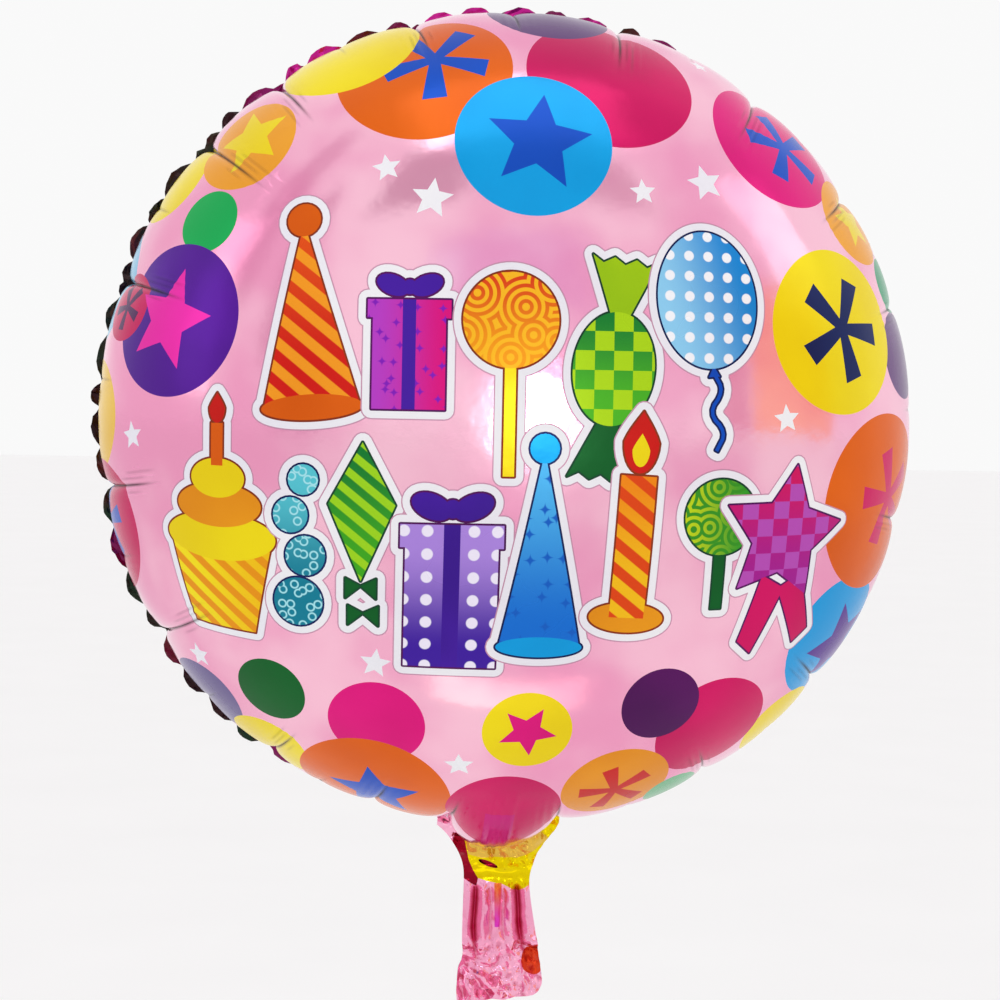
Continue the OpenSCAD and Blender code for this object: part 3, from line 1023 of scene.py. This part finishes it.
def folds(count, short, long):
    """Random directions, pitches and phases of crumples, in mm."""
    turn = fold_rng.uniform(0, math.pi, count)
    pitch = fold_rng.uniform(short, long, count)
    phase = fold_rng.uniform(0, 1, count)
    return np.stack([np.cos(turn) / pitch, np.sin(turn) / pitch, phase, pitch], -1)


BIG_FOLDS, SMALL_FOLDS = folds(5, 9, 17), folds(7, 3.5, 7)


def crumple(x, z, table):
    """Flat facets that meet in sharp ridges: triangle waves that cross each other."""
    total = np.zeros_like(x)
    for cx, cz, phase, pitch in table:
        bent = 0.35 * np.sin(0.21 * x + 0.17 * z + 6 * phase)
        wave = np.abs(((cx * x + cz * z + phase + bent) % 1) * 2 - 1) - 0.5
        total += wave * pitch
    return total / len(table) ** 0.5


def tail_parts(x, z):
    """The parts of the tail's shape at a place on its film, in mm: pleats, crumples, free share."""
    lo, hi = np.interp(z, tail_levels, left_at), np.interp(z, tail_levels, right_at)
    share = np.clip(2 * (x - lo) / (hi - lo) - 1, -1.2, 1.2)
    free = smooth((1 - np.abs(share)) / 0.25)
    pleat = np.interp(share + 0.03 * np.sin(z / 5), *zip(*PLEATS))
    pleat *= smooth((-z - 1) / 6) * (1 - 0.7 * smooth((-z - 22) / 16))
    top = np.interp(x, neck_top[::-1, 0], neck_top[::-1, 1])
    neck = smooth((z - 1) / 5) * smooth((top - z) / 5)
    low = smooth((-z - 25) / 7)
    rough = 0.34 * crumple(x, z, BIG_FOLDS) * (low + 0.5 * neck + 0.1)
    rough += 0.2 * crumple(x, z, SMALL_FOLDS) * (low + 0.7 * neck + 0.2)
    rough *= 1 - np.exp(-(((x - SLIT_AT[0]) / 7) ** 2) - ((z - SLIT_AT[1]) / 3.5) ** 2)
    return pleat, rough, free, low


def tail_point(u, v, side):
    """Where a point of the neck and tail film lies: side -1 in front, 1 behind."""
    z = v / MM
    pleat, rough, free, low = tail_parts(u / MM, z)
    pinch = smooth(np.abs(z) / 5)
    middle = (pleat + rough) * (0.35 + 0.65 * pinch)
    gap = 0.2 + free * (0.35 + 0.9 * smooth((z - 1) / 4) + 0.3 * low)
    return np.stack([u, (middle + side * gap * (0.5 + 0.5 * pinch)) * MM, v], -1)


def tail_fold_shade(u, v):
    """Painted shade: how dark the ink looks in the bottoms of the tail's pleats and crumples."""
    pleat, rough, free, low = tail_parts(u / MM, v / MM)
    dents = smooth((crumple(u / MM, v / MM, SMALL_FOLDS) - 1.1) / 1.6)
    return np.clip(0.95 * smooth((pleat - 0.2) / 1.3) + 0.5 * dents * (0.25 + 0.75 * low), 0, 1)


slit = disc(*SLIT_AT, 4.5, 1.15, -22)
# Where the crimson and yellow parts of the print meet, from the top down.
MEETING = [(-14.8, 34), (-14.6, 16), (-13.8, 12), (-12.6, 7), (-10.6, 2.6), (-8.4, -1)]
yellow_part = np.array(MEETING + [
    (-4.4, -2.2), (2.3, -3.6), (6.9, -5.6), (9.2, -6.5), (11.6, -5), (16, -2.4), (40, 34),
])
crimson_part = np.array(MEETING + [
    (-9, -4.4), (-11, -3.4), (-16, 0), (-22, 8), (-19.6, 14.6), (-18.4, 19), (-18.4, 34),
])
amber_part = np.array([
    (-13.7, 14), (-13, 9.8), (-7, 8), (0, 8.6), (8, 8), (15, 10.6), (22, 16), (0, 34), (-13, 34),
])
grid = np.array([
    (x + GRID_X / 2 * (k % 2), z)
    for k, z in enumerate(np.arange(-55, 26, GRID_Z))
    for x in np.arange(-26, 27, GRID_X)
])
grid = grid[inside(grid, grown(tail_outline, -0.45))]
for name, side in (("neck_tail_front", -1), ("neck_tail_back", 1)):
    if side < 0:
        paint = [
            ("tail_crimson", crimson_part), ("tail_yellow", yellow_part),
            ("tail_amber", amber_part), ("tail_orange", disc(15.8, -36.5, 5, 6.2)),
            ("tail_streak", np.array([(-1.4, -3), (1.8, -3), (1.3, -22), (-0.9, -22)], float)),
        ]
    else:
        paint = [
            ("tail_orange", disc(-6, -41, 6.4, 5)), ("tail_yellow", yellow_part),
            # The crimson disc behind the slit is painted shade: the dark inside of the neck seen
            # through the slit.
            ("tail_crimson", disc(*SLIT_AT, 8.5)),
        ]
    cut = [("hole", slit)] if side < 0 else []
    spots = grid[~inside(grid, grown(slit, 0.3))] if side < 0 else grid
    verts, tris, inks = flat_mesh(map(tuple, spots), [], tail_outline, paint + cut, "tail_pink")
    kept = inside(verts[tris].mean(1), tail_outline) & (inks != "hole")
    piece = build_film(
        name, verts, tris[kept], inks[kept],
        lambda u, v: tail_point(u, v, side), side > 0, tail_fold_shade,
    )
    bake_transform(piece)
    if side < 0:
        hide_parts("neck_front_film", "tail_front_film")
    else:
        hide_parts("neck_back_film", "tail_back_film", "neck_side_welds", "tail_side_welds")


# ---- Valve: clear film, inside ----------------------------------------------------------------

n = Nodes(bpy.data.materials.new("valve_clear"))
where = n.add("ShaderNodeTexCoord").outputs["Object"]
cloud = n.noise(where, 60.0, 3.0)
n.set("Base Color", n.mix(cloud, linear("eef2f4"), linear("dfe7ec")))
n.set("Roughness", n.math("MULTIPLY_ADD", cloud, 0.2, 0.2))
n.set("Alpha", 0.55)
for node in ("valve_front_film", "valve_back_film", "valve_anchor_welds"):
    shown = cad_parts[node]
    for slot in shown.material_slots:
        slot.material = n.made
    if not shown.material_slots:
        shown.data.materials.append(n.made)


# ---- Camera, light and floor ------------------------------------------------------------------

# Set so that the balloon's outline falls where it does in the photograph: degrees and metres.
AIM = Vector((-0.0023, 0, 0.1611))
AZIMUTH, ELEVATION, DISTANCE, ROLL = -6, 3, 1.05, 1.2
SENSOR_W = 36
FOCAL_PER_FRAME = 2.472


def around(azimuth, elevation, distance):
    """A place seen from AIM: degrees right of the front and up, and metres."""
    a, e = math.radians(azimuth), math.radians(elevation)
    return AIM + distance * Vector(
        (math.sin(a) * math.cos(e), -math.cos(a) * math.cos(e), math.sin(e))
    )


camera = placed("camera", bpy.data.cameras.new("camera"))
camera.data.sensor_width = SENSOR_W
camera.data.lens = SENSOR_W * FOCAL_PER_FRAME
camera.location = around(AZIMUTH, ELEVATION, DISTANCE)
camera.rotation_euler = (AIM - camera.location).to_track_quat("-Z", "Y").to_euler()
camera.rotation_euler.rotate_axis("Z", math.radians(ROLL))
bpy.context.scene.camera = camera


def softbox(name, azimuth, elevation, distance, size, watts, colour=(1, 1, 1)):
    """A rectangular lamp that faces AIM."""
    lamp = bpy.data.lights.new(name, "AREA")
    lamp.shape = "RECTANGLE"
    lamp.size, lamp.size_y = size
    lamp.energy = watts
    lamp.color = colour
    made = placed(name, lamp)
    made.location = around(azimuth, elevation, distance)
    made.rotation_euler = (AIM - made.location).to_track_quat("-Z", "Y").to_euler()


softbox("key_light", 6.4, 1, 1.6, (0.07, 0.07), 0.35)
softbox("low_light", 5, -51, 1.1, (0.5, 0.2), 0.17, (1, 0.93, 0.62))
softbox("left_light", -75, 22, 2.0, (0.6, 1.2), 1.3)
softbox("right_light", 72, 32, 2.0, (0.7, 0.9), 0.9)
softbox("top_light", 10, 72, 1.8, (1.2, 0.9), 4)

# The room: pale all round, with a few soft-edged darker or tinted areas between the lamps, as
# (azimuth from, to, elevation from, to, colour).
PATCHES = [
    (-27, -6, 36, 54, (0.6, 0.44, 0.53)), (-39, -25, -10, 12, (0.66, 0.5, 0.6)),
    (41, 74, -10, 22, (1.0, 0.6, 0.38)), (-8, 14, 9, 26, (0.9, 0.86, 1.0)),
    (16, 32, 34, 48, (0.72, 0.6, 0.66)), (31, 41, -10, 24, (0.78, 0.46, 0.56)),
    (-47, -41, 10, 44, (0.7, 0.52, 0.62)), (-72, -58, 20, 60, (0.8, 0.66, 0.74)),
]
SOFT = 3.2  # degrees each side of a patch's edge
WALLS = (0.98, 0.98, 0.98, 1)
BEHIND_OBJECT = (0.95, 0.95, 0.95, 1)  # what the camera itself sees
n = Nodes(bpy.data.worlds.new("studio"))
bpy.context.scene.world = n.made
toward = n.vector("NORMALIZE", n.add("ShaderNodeTexCoord").outputs["Generated"])
across, ahead, up = n.add("ShaderNodeSeparateXYZ", Vector=toward).outputs
azimuth = n.math("ARCTAN2", across, n.math("MULTIPLY", ahead, -1.0))
azimuth = n.math("MULTIPLY", azimuth, math.degrees(1))
elevation = n.math("MULTIPLY", n.math("ARCSINE", up), math.degrees(1))
room = WALLS
for low_az, high_az, low_el, high_el, colour in PATCHES:
    covered = 1.0
    for value, low, high in ((azimuth, low_az, high_az), (elevation, low_el, high_el)):
        covered = n.math("MULTIPLY", covered, n.between(value, low - SOFT, low + SOFT))
        covered = n.math("MULTIPLY", covered, n.between(value, high + SOFT, high - SOFT))
    room = n.mix(covered, room, colour + (1,))
seen = n.add("ShaderNodeLightPath").outputs["Is Camera Ray"]
n.set("Color", n.mix(seen, room, BEHIND_OBJECT))
bpy.context.scene.view_settings.view_transform = "Standard"

FLOOR_HALF = 30.0
FLOOR_Z = -TAIL_L - 0.9
floor_mesh = bpy.data.meshes.new("floor")
floor_mesh.from_pydata(
    [(x * FLOOR_HALF, y * FLOOR_HALF, FLOOR_Z) for x, y in ((-1, -1), (1, -1), (1, 1), (-1, 1))],
    [], [(0, 1, 2, 3)],
)
floor = placed("floor", floor_mesh)
n = Nodes(bpy.data.materials.new("floor"))
speckle = n.noise(n.add("ShaderNodeTexCoord").outputs["Object"], 3.0)
pale = n.mix(speckle, (0.93, 0.93, 0.93, 1), (0.96, 0.96, 0.96, 1))
n.set("Base Color", pale)
n.set("Roughness", 0.8)
floor_mesh.materials.append(n.made)
